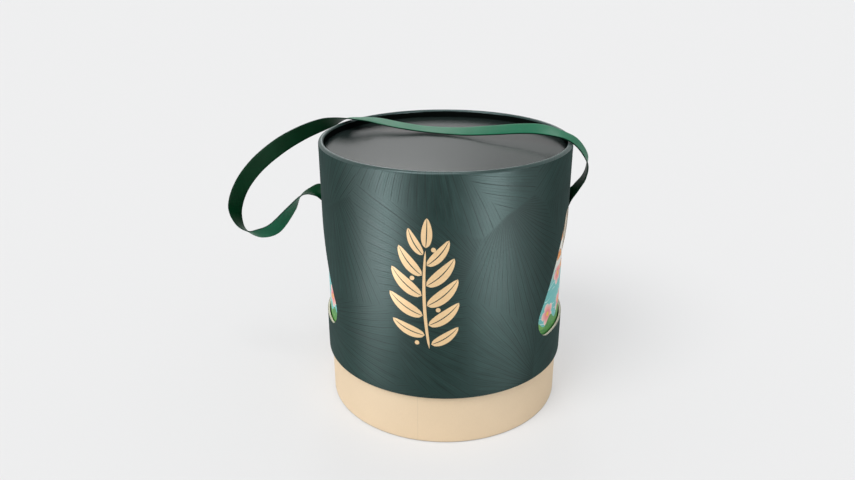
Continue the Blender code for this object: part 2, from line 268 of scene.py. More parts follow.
# Dark wrap: fans of darker, duller lines on a teal-black ground, and a soft gloss that dulls where the
# wall turns away, as a matt film does
wrapFinish = {
    "deep": (0.005, 0.016, 0.013),
    "light": (0.016, 0.044, 0.037),
    "line": (0.003, 0.004, 0.0025),
    "lineStrength": 0.80,
    "cellsPerMetre": 11.0,
    "linesPerRadian": 15.0,
    "lineHalfWidth": 0.0050,
    "streakShare": 1.6,
    "toneShare": 0.14,
    "fibreShare": 0.6,
    "lineDulls": 0.28,
    "streakDulls": 0.22,
    "glossTint": (0.78, 0.97, 1.0),
    "lapRadius": 0.1220,
    "lapWidth": 0.0004,
}


def wrapMaterial(name, roughness, roughnessAside, specular):
    look = wrapFinish
    mat, tree, shader = newMaterial(name, roughness, specular, {"Specular Tint": look["glossTint"]})
    place = mapOf(tree)
    fans = useGroup(veins, place, Cells=look["cellsPerMetre"], Lines=look["linesPerRadian"],
                    Width=look["lineHalfWidth"])
    streaks, tone = fans["Streaks"] - 0.5, fans["Tone"] - 0.5
    grain = useGroup(fibre, place, Scale=1400.0, Mottle=22.0)
    share = streaks * look["streakShare"] + tone * look["toneShare"] + 0.5
    share = mathOf("ADD", share, (grain["Tone"] - 0.5) * look["fibreShare"], clamp=True)
    ground = mixColour(share, look["deep"], look["light"])
    # the sheet's two ends lap at the back
    lap = math.pi * look["lapRadius"] - abs(partsOf(place)[0])
    lap = ramped(lap, look["lapWidth"], 0.5 * look["lapWidth"])
    lines = mathOf("MAXIMUM", fans["Lines"] * look["lineStrength"], lap)
    aside = addNode(tree, "LayerWeight", {"Blend": 0.5})["Facing"]
    gloss = ramped(aside, 0.20, 0.58, roughness, roughnessAside)
    gloss = gloss + lines * look["lineDulls"] + streaks * look["streakDulls"]
    gloss.to(shader.inputs["Roughness"])
    colour = mixColour(lines, ground, look["line"])
    return finished(mat, shader, colour, grain["Height"] - lines * 0.5, 0.16)


# Paper and board with no print: the fibre alone, between two tones
def plainMaterial(name, low, high, roughness, specular, scale, mottle, bump, mapName=None):
    mat, tree, shader = newMaterial(name, roughness, specular)
    place = mapOf(tree, mapName) if mapName else objectPlace(tree)
    grain = useGroup(fibre, place, Scale=scale, Mottle=mottle)
    return finished(mat, shader, mixColour(grain["Tone"], low, high), grain["Height"], bump)


# Beige paper: an even tone with one lap at the front, and a foot darkened with painted shade where it meets the
# floor
beigeFinish = {
    "low": (0.715, 0.550, 0.360),
    "high": (0.850, 0.670, 0.455),
    "worn": (0.16, 0.11, 0.06),
    "lapPlace": -0.0124,  # round the wall from the front, in metres
    "lapWidth": 0.00035,
    "lapShare": 0.16,
    "footLevel": 0.0011,
    "footShare": 0.35,
}


def beigeMaterial():
    look = beigeFinish
    mat, tree, shader = newMaterial("beigePaper", 0.62, 0.20)
    place = mapOf(tree)
    grain = useGroup(fibre, place, Scale=1100.0, Mottle=26.0)
    tone = mixColour(grain["Tone"], look["low"], look["high"])
    lap = ramped(abs(partsOf(place)[0] - look["lapPlace"]), look["lapWidth"], 0.0) * look["lapShare"]
    # painted shade: the lowest two millimetres darken towards the floor for the contact shadow; the same dark
    # tone also draws the lap line
    foot = ramped(partsOf(objectPlace(tree))[2], 2.0 * look["footLevel"], look["footLevel"]) * look["footShare"]
    tone = mixColour(mathOf("MAXIMUM", lap, foot), tone, look["worn"])
    return finished(mat, shader, tone, grain["Height"], 0.2)


def foilMaterial(low, high):
    mat, tree, shader = newMaterial("goldFoil", 0.50, 0.22, {"Metallic": 0.06})
    soft = noiseOf(objectPlace(tree), 900.0, 3.0)
    ramped(soft, 0.3, 0.7, 0.44, 0.58).to(shader.inputs["Roughness"])
    return finished(mat, shader, mixColour(soft, low, high), soft, 0.1, 0.00005)


def strapMaterial(name, low, high, specular, sheen):
    sheens = {"Sheen Weight": sheen, "Sheen Roughness": 0.35, "Sheen Tint": (0.45, 0.90, 0.72)}
    mat, tree, shader = newMaterial(name, 0.40, specular, sheens)
    threads = useGroup(weave, mapOf(tree, "ribbon"), Threads=2600.0)
    return finished(mat, shader, mixColour(threads["Tone"], low, high), threads["Height"], 0.25, 0.00006)


# Printed barrel paper: turquoise water lines, rows of round blossoms, a leafy foot and warm scallops above
printFinish = {
    "water": (0.13, 0.53, 0.51),
    "pale": (0.72, 0.88, 0.84),
    "cream": (0.86, 0.84, 0.76),
    "petal": (0.87, 0.20, 0.21),
    "petalPale": (0.93, 0.56, 0.50),
    "heart": (0.90, 0.56, 0.04),
    "leaf": (0.02, 0.23, 0.025),
    "leafPale": (0.20, 0.50, 0.07),
    "warm": (0.78, 0.13, 0.015),
    "warmPale": (0.92, 0.45, 0.06),
    "line": (0.20, 0.06, 0.03),
    "fibre": (0.35, 0.35, 0.30),
    "footLevel": 0.104,
    "waterTop": 0.150,
    # spots: width and height of a spot's cell, level where the rows start, seed and lift in the cell
    "scallops": (0.0225, 0.0155, 0.142, 3.0, 0.0046),
    "blossoms": (0.037, 0.033, 0.098, 7.0, 0.0),
    "leaves": (0.026, 0.014, 0.070, 11.0, 0.0),
}


def printMaterial():
    look = printFinish
    mat, tree, shader = newMaterial("printedPaper", 0.50, 0.22)
    place = mapOf(tree)
    around, level = partsOf(place)[:2]
    waterTop = look["waterTop"]
    # water lines, and the sky above them
    swell = mathOf("SINE", around * 210.0) * 0.0016
    wave = mathOf("SINE", (level + swell) * 1100.0)
    gate = ramped(noiseOf(vectorOf("MULTIPLY", place, (1.0, 3.0, 1.0)), 45.0), 0.48, 0.60)
    colour = mixColour(ramped(wave, 0.80, 0.95) * gate * 0.8, look["water"], look["pale"])
    colour = mixColour(ramped(level + swell, waterTop - 0.012, waterTop + 0.010), colour, look["cream"])

    # Round spots set in staggered rows: height, distance and angle from each spot's middle, and its chances
    def spots(width, height, lowest, seed, lift):
        row = mathOf("FLOOR", (level - lowest) / height)
        column = (around + mathOf("FLOORED_MODULO", row, 2.0) * (0.5 * width)) / width
        cell = addNode(tree, "CombineXYZ", {0: mathOf("FLOOR", column), 1: row, 2: seed})[0]
        chance = addNode(tree, "TexWhiteNoise", {"Vector": cell}, noise_dimensions="3D")["Color"]
        chance = addNode(tree, "SeparateColor", {0: chance})
        x = (mathOf("FRACT", column) - 0.5) * width + (chance[0] - 0.5) * (0.25 * width)
        y = level - lowest - (row + 0.5) * height + (chance[1] - 0.5) * (0.25 * height) + lift
        return y, mathOf("SQRT", x * x + y * y), mathOf("ARCTAN2", y, x) + chance[2] * 6.0, chance

    # warm scallops in the sky: rings of half discs, one above the other
    y, away, angle, chance = spots(*look["scallops"])
    warm = mixColour(ramped(mathOf("SINE", away * 1900.0), -0.3, 0.3), look["warm"], look["warmPale"])
    warm = mixColour(ramped(chance[1], 0.55, 0.60) * 0.85, warm, look["leafPale"])
    rib = ramped(abs(mathOf("SINE", angle * 5.0)), 0.10, 0.04) * 0.6
    edge = ramped(abs(away - 0.0084), 0.0005, 0.0002)
    warm = mixColour(mathOf("MAXIMUM", rib, edge), warm, look["line"])
    body = ramped(away, 0.0093, 0.0088) * ramped(y, -0.0004, 0.0002)
    colour = mixColour(body * ramped(level, waterTop - 0.008, waterTop - 0.006), colour, warm)
    # blossoms on the water: five round petals, paler outside, with a warm heart
    y, away, angle, chance = spots(*look["blossoms"])
    inside = mathOf("SQRT", abs(mathOf("COSINE", angle * 2.5))) * 0.0054 + 0.0066 - away
    onWater = ramped(level, waterTop + 0.004, waterTop + 0.003)
    petal = mixColour(ramped(away, 0.002, 0.011), look["petal"], look["petalPale"])
    petal = mixColour(ramped(inside, 0.0011, 0.0004), petal, look["cream"])
    colour = mixColour(ramped(inside, 0.0, 0.0004) * onWater, colour, petal)
    colour = mixColour(ramped(away, 0.0028, 0.0021) * onWater, colour, look["heart"])
    # leafy foot: overlapping round leaves with pale veins
    y, away, angle, chance = spots(*look["leaves"])
    leaf = mixColour(chance[1] * 0.6, look["leaf"], look["leafPale"])
    leaf = mixColour(ramped(mathOf("SINE", angle * 9.0), 0.75, 0.95) * 0.5, leaf, look["leafPale"])
    leaf = mixColour(ramped(away, 0.0125, 0.0118), look["leaf"], leaf)
    footEdge = mathOf("SINE", around * 240.0) * 0.004 + look["footLevel"]
    colour = mixColour(ramped(footEdge - level, 0.0, 0.0005), colour, leaf)
    grain = useGroup(fibre, place, Scale=1400.0, Mottle=40.0)
    colour = mixColour(grain["Tone"] * 0.15, colour, look["fibre"])
    return finished(mat, shader, colour, grain["Height"], 0.12)


materials = {
    "wrap": wrapMaterial("darkWrap", 0.42, 1.00, 0.15),
    "rim": wrapMaterial("rimWrap", 0.30, 0.38, 0.62),  # rubbed smoother where it turns over the rim
    "recess": plainMaterial("recessPaintedShade", (0.002, 0.003, 0.003), (0.006, 0.008, 0.007),
                            0.95, 0.0, 1400.0, 30.0, 0.2, "wall"),  # painted shade: the wrap's stretch down the recess wall is made near black for the recess's shade
    "panel": plainMaterial("panelPaper", (0.009, 0.015, 0.014), (0.018, 0.026, 0.024),
                           0.18, 0.10, 1400.0, 18.0, 0.15),
    "beige": beigeMaterial(),
    "print": printMaterial(),
    "lining": plainMaterial("liningPaper", (0.70, 0.65, 0.55), (0.84, 0.80, 0.71),
                            0.75, 0.3, 900.0, 30.0, 0.3),
    "board": plainMaterial("rawBoard", (0.56, 0.50, 0.40), (0.80, 0.74, 0.63),
                           0.85, 0.3, 900.0, 30.0, 0.3),
    "foil": foilMaterial((0.68, 0.455, 0.23), (0.775, 0.56, 0.31)),
    "strap": strapMaterial("strapFace", (0.001, 0.090, 0.040), (0.005, 0.140, 0.068), 0.07, 0.03),
    # the rounded edges: near black-green, painted shade for the thin edge turned down from the light
    "strapEdgePaintedShade": strapMaterial("strapEdgePaintedShade", (0.001, 0.018, 0.009), (0.002, 0.030, 0.016), 0.05, 0.0),
    # the back: a duller green than the face, made much darker as painted shade for the side turned from the
    # light
    "strapBackPaintedShade": strapMaterial("strapBackPaintedShade", (0.0002, 0.022, 0.006), (0.001, 0.042, 0.014), 0.04, 0.0),
}
print("materials made:", len(materials))


# Sheets: vertices, a map in metres and faces, kept apart so that pieces can be sewn from them
def sheet(place, uv, quads, tris=np.zeros((0, 3), int), slot=0):
    return {"place": place.reshape(-1, 3), "uv": uv.reshape(-1, 2), "faces": (quads, tris), "slot": slot}


# A grid of rows by columns joined by quads
def gridQuads(rows, columns):
    corner = (np.arange(rows - 1)[:, None] * columns + np.arange(columns - 1)).ravel()
    return np.stack([corner, corner + 1, corner + columns + 1, corner + columns], 1)


# x = radius sin(turn), y = -radius cos(turn)
def wrapRound(turn, radius, level):
    return np.stack(np.broadcast_arrays(radius * np.sin(turn), -radius * np.cos(turn), level), -1)


# A surface of revolution: each outline point (radius, level) goes once round the upright axis.
# The map runs round at mapRadius and along the outline from startLevel.
def turnedSheet(outline, mapRadius, startLevel=0.0, slot=0):
    outline = np.asarray(outline, float)
    turn = np.linspace(-math.pi, math.pi, roundColumns + 1)
    along = startLevel + np.concatenate([[0.0], np.cumsum(np.hypot(*np.diff(outline, axis=0).T))])
    uv = np.stack(np.broadcast_arrays(turn * mapRadius, along[:, None]), -1)
    place = wrapRound(turn, outline[:, :1], outline[:, 1:])
    return sheet(place, uv, gridQuads(len(outline), roundColumns + 1), slot=slot)


# Points of an arc in the (radius, level) plane
def arcPoints(centre, radius, startDegrees, endDegrees, steps=6):
    angle = np.radians(np.linspace(startDegrees, endDegrees, steps + 1))
    return [(centre[0] + radius * math.cos(a), centre[1] + radius * math.sin(a)) for a in angle]


# Sews sheets into one closed piece: doubles are merged, then the faces are turned outwards
def sewnPiece(name, sheets, mats, body, node, uvName="wall", sharpDegrees=32.0):
    faces, slots, start = [], [], 0
    for part in sheets:
        for block in part["faces"]:
            faces.extend((block + start).tolist())
            slots.extend([part["slot"]] * len(block))
        start += len(part["place"])
    mesh = bpy.data.meshes.new(name)
    mesh.from_pydata(np.concatenate([part["place"] for part in sheets]).tolist(), [], faces)
    mesh.polygons.foreach_set("material_index", np.array(slots, np.int32))
    loops = np.zeros(len(mesh.loops), np.int32)
    mesh.loops.foreach_get("vertex_index", loops)
    uv = np.concatenate([part["uv"] for part in sheets])[loops]
    mesh.uv_layers.new(name=uvName).data.foreach_set("uv", uv.astype(np.float32).ravel())
    work = bmesh.new()
    work.from_mesh(mesh)
    bmesh.ops.remove_doubles(work, verts=work.verts, dist=2e-6)
    bmesh.ops.dissolve_degenerate(work, dist=1e-7, edges=work.edges)
    bmesh.ops.recalc_face_normals(work, faces=work.faces)
    openEdges = sum(len(e.link_faces) != 2 for e in work.edges)
    work.to_mesh(mesh)
    work.free()
    mesh.shade_smooth()
    mesh.set_sharp_from_angle(angle=math.radians(sharpDegrees))
    for mat in mats:
        mesh.materials.append(materials[mat])
    made = newObject(name, mesh)
    if node:
        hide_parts(node)
    if body:
        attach(made, body)
    print(name, len(mesh.polygons), "faces", "OPEN EDGES %d" % openEdges if openEdges else "")
    return made


# The outline is closed here, unless it runs from the axis to the axis
def turnedPiece(name, outline, mat, body, node, mapRadius=0.12, startLevel=0.0):
    if outline[0][0] > 0.0:
        outline = [*outline, outline[0]]
    sewnPiece(name, [turnedSheet(outline, mapRadius, startLevel)], (mat,), body, node)


def discPiece(name, radius, bottom, top, mat, body, node, edge=0.00008):
    rings = np.linspace(0.0, radius - edge, 14)
    outline = [*[(r, top) for r in rings], (radius, top - edge), (radius, bottom + edge),
               *[(r, bottom) for r in rings[::-1]]]
    turnedPiece(name, outline, mat, body, node)


# Cover: the tube and its wrap, with windows and slots
cover = {
    "radius": 0.1220,
    "height": 0.2700,
    "wall": 0.0014,
    "hemLevel": 0.0520,
    "hemHeight": 0.0120,
    "rimWidth": 0.0050,
    "rimOuterRound": 0.0030,
    "rimInnerRound": 0.0020,
    "rubbedFrom": 2,  # the rim's smoother stretch starts at this point of its outline, in steps of 9 degrees
    "recess": 0.0080,
    "edgeRound": 0.0006,
    "panelWall": 0.0015,
    "panelGap": 0.00005,  # the panel's paper fills the recess up to its wall
    "ringHeight": 0.0116,
    "ringEdge": 0.0003,
}
window = {
    "turnDegrees": 80.0,
    "apexRadius": 0.0120,
    "apexLevel": 0.1965,
    "cornerRadius": 0.0200,
    "cornerLevel": 0.1115,
    "cornerOffset": 0.0384,
    "arcSteps": 26,
    "sideSteps": 30,
}
strap = {
    "width": 0.0180,
    "thickness": 0.0012,
    "level": 0.2070,
    "slotClearance": 0.0005,
    "exit": 0.0009,
    "tabThickness": 0.0007,
    "tabGap": 0.0003,
    "tabBend": 0.0005,
    "tabTurnDegrees": (11.25, 0.6),
    "edgeRound": 0.00035,
    "samples": 14,
    "slotTurnDegrees": {-1: -90.0, 1: 95.625},  # the right slot lies a little further back
}
# The finely triangulated part of the wall on each side, and how far its inner points keep off the holes
patch = {"columnsAside": 24, "low": 0.084, "high": 0.224, "rowStep": 0.005, "margin": 0.0014}


# A window on the unrolled wall: the hull round three circles (x, z, radius), counter-clockwise
def windowOutline(side):
    corner = (window["cornerLevel"], window["cornerRadius"])
    circles = ((0.0, window["apexLevel"], window["apexRadius"]),
               (-window["cornerOffset"], *corner), (window["cornerOffset"], *corner))
    normals = []
    for (x0, z0, r0), (x1, z1, r1) in zip(circles, circles[1:] + circles[:1]):
        gap = math.hypot(x1 - x0, z1 - z0)
        normals.append(math.atan2(z1 - z0, x1 - x0) - math.acos((r0 - r1) / gap))
    arcs = []
    for i, (x, z, r) in enumerate(circles):
        sweep = (normals[i] - normals[i - 1]) % (2.0 * math.pi)
        angle = normals[i - 1] + sweep * np.linspace(0.0, 1.0, window["arcSteps"] + 1)
        arcs.append(np.stack([x + r * np.cos(angle), z + r * np.sin(angle)], 1))
    share = np.linspace(0.0, 1.0, window["sideSteps"] + 1)[1:-1, None]
    points = []
    for arc, following in zip(arcs, arcs[1:] + arcs[:1]):
        points += [arc, arc[-1] + (following[0] - arc[-1]) * share]
    middle = side * math.radians(window["turnDegrees"]) * cover["radius"]
    return np.concatenate(points) + (middle, 0.0)


def slotOutline(side):
    halfDepth = 0.5 * strap["thickness"] + strap["slotClearance"]
    halfHeight = 0.5 * strap["width"] + strap["slotClearance"]
    middle = math.radians(strap["slotTurnDegrees"][side]) * cover["radius"]
    up = np.linspace(-halfHeight, halfHeight, 8)[:, None] * (0.0, 1.0)
    front, back = (middle + halfDepth, strap["level"]), (middle - halfDepth, strap["level"])
    return np.concatenate([up + front, up[::-1] + back])


# Which points lie inside a closed outline, by counting the edges to their right
def insideOutline(points, outline):
    a, b = outline, np.roll(outline, -1, 0)
    x, y = points[:, :1], points[:, 1:]
    crosses = (a[:, 1] > y) != (b[:, 1] > y)
    rise = np.where(b[:, 1] == a[:, 1], 1.0, b[:, 1] - a[:, 1])
    at = a[:, 0] + (y - a[:, 1]) * (b[:, 0] - a[:, 0]) / rise
    return (np.sum(crosses & (x < at), 1) % 2).astype(bool)


def distanceToOutline(points, outline):
    along = np.roll(outline, -1, 0) - outline
    away = points[:, None] - outline
    t = np.sum(away * along, 2) / np.maximum(np.sum(along * along, 1), 1e-18)
    return np.min(np.linalg.norm(away - np.clip(t, 0.0, 1.0)[..., None] * along, axis=2), 1)


# The unrolled wall (round, level): a plain grid, with a finely triangulated patch round each side's holes
def unrolledWall(low, high):
    step = 2.0 * math.pi * cover["radius"] / roundColumns
    columns = np.arange(-roundColumns // 2, roundColumns // 2 + 1)
    bounds = (low, patch["low"], patch["high"], high)
    levels = [np.linspace(a, b, max(2, round((b - a) / patch["rowStep"]) + 1))[:-1]
              for a, b in zip(bounds, bounds[1:])]
    levels = np.concatenate([*levels, [high]])
    grid = np.stack(np.meshgrid(columns * step, levels), -1)
    middle = round(window["turnDegrees"] / 360.0 * roundColumns)
    inRows = (levels > patch["low"] - 1e-6) & (levels < patch["high"] + 1e-6)
    inColumns = np.abs(np.abs(columns[:-1] + 0.5) - middle) < patch["columnsAside"]
    keep = ~((inRows[:-1] & inRows[1:])[:, None] & inColumns).ravel()
    points, tris, loops = [grid.reshape(-1, 2)], [], []
    for side in (-1, 1):
        holes = [windowOutline(side), slotOutline(side)]
        block = grid[np.ix_(inRows, np.abs(columns - side * middle) <= patch["columnsAside"])]
        border = np.concatenate([block[0, :-1], block[:-1, -1], block[-1, :0:-1], block[:0:-1, 0]])
        inner = block[1:-1, 1:-1].reshape(-1, 2)
        for hole in holes:
            inner = inner[~insideOutline(inner, hole) & (distanceToOutline(inner, hole) > patch["margin"])]
        edges, count = [], 0
        for ring in (border, *holes):
            index = count + np.arange(len(ring))
            edges.extend(np.stack([index, np.roll(index, -1)], 1).tolist())
            count += len(ring)
        # the triangulation works in millimetres
        flat = np.concatenate([border, *holes, inner]) / millimetre
        result = geometry.delaunay_2d_cdt([Vector(p) for p in flat.tolist()], edges, [], 0, 1e-6)
        made = np.array([tuple(v) for v in result[0]]) * millimetre
        faces = np.array([list(f) for f in result[2]])
        for hole in holes:
            faces = faces[~insideOutline(made[faces].mean(1), hole)]
        tris.append(faces + sum(map(len, points)))
        points.append(made)
        loops.extend(holes)
    return np.concatenate(points), gridQuads(len(levels), len(columns))[keep], np.concatenate(tris), loops


# The unrolled wall bent onto two radii, and the cut edges of its holes between them
def doubleWall(low, high, outer, inner, edgeSlot):
    flat, quads, tris, loops = unrolledWall(low, high)
    turn = flat[:, 0] / cover["radius"]
    sheets = [sheet(wrapRound(turn, radius, flat[:, 1]), flat, quads, tris) for radius in (outer, inner)]
    for loop in loops:
        ring = np.concatenate([loop, loop[:1]])
        place = wrapRound(ring[:, 0] / cover["radius"], np.array([[outer], [inner]]), ring[:, 1])
        sheets.append(sheet(place, np.stack([ring, ring]), gridQuads(2, len(ring)), slot=edgeSlot))
    return sheets


outside, thick, step = cover["radius"], paper["thick"], paper["step"]
outerRound, innerRound = cover["rimOuterRound"], cover["rimInnerRound"]
shoulder = cover["height"] - outerRound
outerAxis = (outside - outerRound, shoulder)
innerAxis = (outside - outerRound, cover["height"] - innerRound)
rimInner = outside - cover["rimWidth"]
boardOuter = outside - step
boardInner = boardOuter - cover["wall"]
collarOuter = boardInner - thick
panelLevel = cover["height"] - cover["recess"]
panelTop = panelLevel - step
wrapFoot = panelTop + thick


# From the wall's top over the rim to the recess, so far below the wrap's outer face
def rimOutline(inset):
    return [*arcPoints(outerAxis, outerRound - inset, 0.0, 90.0, 10),
            *arcPoints(innerAxis, innerRound - inset, 90.0, 180.0, 8)[1:]]


# wrap: outer wall, over the rim and down into the recess, and turned in under the lower edge
edge, skin, rubbed = cover["edgeRound"], outside - thick, cover["rubbedFrom"]
overRim, underRim = rimOutline(0.0), rimOutline(thick)
hemInner, hemStart = collarOuter - thick, cover["hemLevel"] + edge
hemTop = cover["hemLevel"] + cover["hemHeight"]
rubbedLevel = shoulder + math.radians(9.0 * rubbed) * outerRound
sewnPiece("coverWrap", [
    *doubleWall(hemStart, shoulder, outside, skin, 1),
    turnedSheet(overRim[:rubbed + 1], outside, shoulder),
    turnedSheet(overRim[rubbed:], outside, rubbedLevel, slot=3),
    # the stretch down the recess wall takes the near-black painted shade
    turnedSheet([overRim[-1], (rimInner, wrapFoot), (rimInner + thick, wrapFoot), underRim[-1]],
                outside, shoulder, slot=2),
    turnedSheet(underRim, outside, shoulder),
    turnedSheet([*arcPoints((outside - edge, hemStart), edge, 0.0, -90.0, 4),
                 *arcPoints((hemInner + edge, hemStart), edge, -90.0, -180.0, 4),
                 (hemInner, hemTop), (collarOuter, hemTop), (collarOuter, hemStart), (skin, hemStart)],
                outside),
], ("wrap", "board", "recess", "rim"), "cover", "cover_paper")

# board tube, just clear of the wrap
boardRound = outerRound - step
lean = math.degrees(math.acos((boardInner - outerAxis[0]) / boardRound))
tubeLow = cover["hemLevel"] + step
sewnPiece("coverTube", [
    *doubleWall(tubeLow, shoulder, boardOuter, boardInner, 0),
    turnedSheet([*arcPoints(outerAxis, boardRound, 0.0, lean), (boardInner, shoulder)], boardOuter, shoulder),
    turnedSheet([(boardOuter, tubeLow), (boardInner, tubeLow)], boardOuter),
], ("board",), "cover", "cover_board")

# collar inside the rim
collarTop = shoulder + math.sqrt(boardRound ** 2 - (collarOuter - outerAxis[0]) ** 2)
turnedPiece("rimCollar", [
    (collarOuter, collarTop), (collarOuter, wrapFoot), (rimInner + step, wrapFoot),
    *reversed(arcPoints(innerAxis, innerRound - step, 90.0, 180.0)),
], "board", "cover", "rim_collar")

# panel and the ring under it
panelFoot = panelTop - cover["panelWall"]
discPiece("panelBoard", collarOuter, panelFoot, panelTop, "board", "cover", "top_panel_board")
discPiece("panelPaper", rimInner - cover["panelGap"], panelLevel - thick, panelLevel, "panel", "cover",
          "top_panel_paper", edge=0.00005)
discPiece("ceilingPaper", rimInner - thick, panelFoot - step, panelFoot - thick, "lining",
          "cover", "ceiling_paper")
ringTop, ringEdge = panelFoot - thick, cover["ringEdge"]
ringBottom = ringTop - cover["ringHeight"]
turnedPiece("stopRing", [
    (collarOuter, ringTop), (collarOuter, ringBottom + ringEdge), (collarOuter - ringEdge, ringBottom),
    (rimInner + ringEdge, ringBottom), (rimInner, ringBottom + ringEdge), (rimInner, ringTop),
], "board", "cover", "stop_ring")
print("cover made")

# Barrel: board, papers and floor
barrel = {
    "radius": 0.1187,
    "wall": 0.0018,
    "bandHeight": 0.0700,
    "turnIn": 0.0100,
    "hemWidth": 0.0127,
    "discInset": 0.0018,
    "seat": 0.0003,
    "footRound": 0.0009,
    "mouthRound": 0.0007,
}
outside, foot, mouth, bandTop = (barrel[key] for key in ("radius", "footRound", "mouthRound", "bandHeight"))
barrelTop = ringBottom - barrel["seat"]
boardOuter = outside - step
boardInner = boardOuter - barrel["wall"]
liningOuter = boardInner - thick
liningInner = liningOuter - thick
boardBottom, boardTop = 2.0 * step, barrelTop - step
floorTop = boardBottom + barrel["wall"]
turnIn = barrelTop - barrel["turnIn"]
turnedPiece("barrelBoard", [
    (boardOuter, boardTop), (boardOuter, boardBottom), (boardInner, boardBottom), (boardInner, boardTop),
], "board", "barrel", "barrel_board")

# the band's foot is rounded over the board's corner and runs in under it
hemEdge, footAxis = outside - barrel["hemWidth"], (outside - foot, step + foot)
turnedPiece("baseBand", [
    *[(outside, z) for z in np.linspace(bandTop - thick, step + foot, 12)],
    *arcPoints(footAxis, foot, 0.0, -90.0), (hemEdge, step), (hemEdge, step + thick),
    *arcPoints(footAxis, foot - thick, -90.0, 0.0), (outside - thick, bandTop - thick),
], "beige", "barrel", "base_band_paper", mapRadius=outside)

# printed paper, folded over the mouth; its map starts at its own lower edge
outerMouth, innerMouth = (outside - mouth, barrelTop - mouth), (liningInner + mouth, barrelTop - mouth)
turnedPiece("barrelPrint", [
    *[(outside, z) for z in np.linspace(bandTop, barrelTop - mouth, 24)],
    *arcPoints(outerMouth, mouth, 0.0, 90.0), *arcPoints(innerMouth, mouth, 90.0, 180.0),
    (liningInner, turnIn), (liningOuter, turnIn),
    *arcPoints(innerMouth, mouth - thick, 180.0, 90.0), *arcPoints(outerMouth, mouth - thick, 90.0, 0.0),
    (outside - thick, bandTop),
], "print", "barrel", "barrel_print_paper", mapRadius=outside, startLevel=bandTop)

turnedPiece("barrelLining", [
    (liningOuter, turnIn - thick), (liningOuter, floorTop + thick),
    (liningInner, floorTop + thick), (liningInner, turnIn - thick),
], "lining", "barrel", "barrel_lining")
discPiece("bottomBoard", boardInner - thick, boardBottom, floorTop, "board", "barrel", "bottom_board")
discPiece("bottomPaper", outside - barrel["discInset"], 0.0, thick, "panel", "barrel", "bottom_paper")
discPiece("floorPaper", liningInner - thick, floorTop + thick, floorTop + step, "lining", "barrel",
          "floor_paper")
print("barrel made")

# Strap: each row is a place, in thousandths of the cover's radius (x and y) and of its height (z), and the
# way the strap's width points there, from its front edge to its back edge, in tenths
strapRoute = (
    (-1115, 18, 767, -5, 9, 2), (-1226, 46, 744, -4, 9, -4), (-1341, 92, 678, 2, 9, -5),
    (-1521, 155, 586, 4, 6, -7), (-1674, 183, 554, 1, 7, -8), (-1797, 213, 555, -3, 9, -4),
    (-1881, 237, 585, 1, 9, -3), (-1917, 269, 647, 6, 7, -5), (-1849, 301, 734, 6, 4, -8),
    (-1698, 325, 821, 5, 3, -9), (-1483, 340, 900, 4, 3, -8), (-1280, 357, 953, 3, 5, -9),
    (-1108, 377, 985, 1, 6, -8), (-994, 395, 999, -1, 8, -6), (-877, 388, 1012, -3, 9, -2),
    (-789, 398, 1012, -1, 10, -1), (-708, 424, 1007, -1, 10, 0), (-605, 430, 1000, 0, 10, 1),
    (-403, 383, 990, 0, 10, 1), (-179, 362, 981, 0, 10, 1), (100, 308, 983, -1, 10, 2),
    (339, 252, 996, 1, 10, 3), (594, 211, 1010, 0, 9, 3), (759, 138, 1017, 2, 9, 3),
    (917, -8, 1016, 2, 10, 1), (1016, -66, 999, 3, 10, 0), (1096, -25, 951, 3, 9, -2),
    (1122, 14, 903, 0, 9, -3), (1107, 34, 860, -1, 10, -1), (1065, 48, 825, -1, 10, 1),
    (1026, 66, 793, 1, 8, 6),
)
spanStations = [16, 24]  # the loose span's two ends; the strap's width there is set square to the line through them
strapCuts = (19, 22)  # the visible strap is cut into three pieces here, inside the loose span
strapBendReach = 0.034  # a length along that line beside each end of the span; the points it gives are not used


def unit(vectors):
    return vectors / np.linalg.norm(vectors, axis=-1, keepdims=True)


# Catmull-Rom curve: each step is a cubic through its two ends that leaves them along their neighbours' chord
def curveThrough(values):
    padded = np.concatenate([2.0 * values[:1] - values[1:2], values, 2.0 * values[-1:] - values[-2:-1]])
    a, b, c, d = (padded[i:len(padded) - 3 + i, None] for i in range(4))
    t = (np.arange(strap["samples"]) / strap["samples"])[None, :, None]
    curve = 0.5 * (2.0 * b + (c - a) * t + (2.0 * a - 5.0 * b + 4.0 * c - d) * t ** 2
                   + (3.0 * b - a - 3.0 * c + d) * t ** 3)
    return np.concatenate([curve.reshape(-1, 3), values[-1:]])


# The strap's end inside the cover: along the wall, round a quarter turn and out through the slot
def strapTab(side):
    bend, thin = strap["tabBend"], strap["tabThickness"]
    tabRadius = cover["radius"] - step - cover["wall"] - strap["tabGap"] - 0.5 * thin
    swing = np.radians(np.linspace(*strap["tabTurnDegrees"], 12))
    flap = np.stack([tabRadius * np.cos(swing), tabRadius * np.sin(swing)], 1)
    corner = np.radians(np.linspace(180.0, 270.0, 6))[1:]
    quarter = np.stack([tabRadius + bend + bend * np.cos(corner), bend + bend * np.sin(corner)], 1)
    out = np.stack([np.linspace(tabRadius + bend, cover["radius"] + strap["exit"], 5)[1:-1], np.zeros(3)], 1)
    plan = np.concatenate([flap[flap[:, 1] > bend], quarter, out])
    turn = math.radians(strap["slotTurnDegrees"][side]) + side * np.arctan2(plan[:, 1], plan[:, 0])
    growth = np.concatenate([np.zeros(len(plan) - 3), np.linspace(0.0, 1.0, 4)[1:]])
    return (wrapRound(turn, np.hypot(*plan.T), strap["level"]), np.tile((0.0, 0.0, 1.0), (len(plan), 1)),
            thin + (strap["thickness"] - thin) * growth)


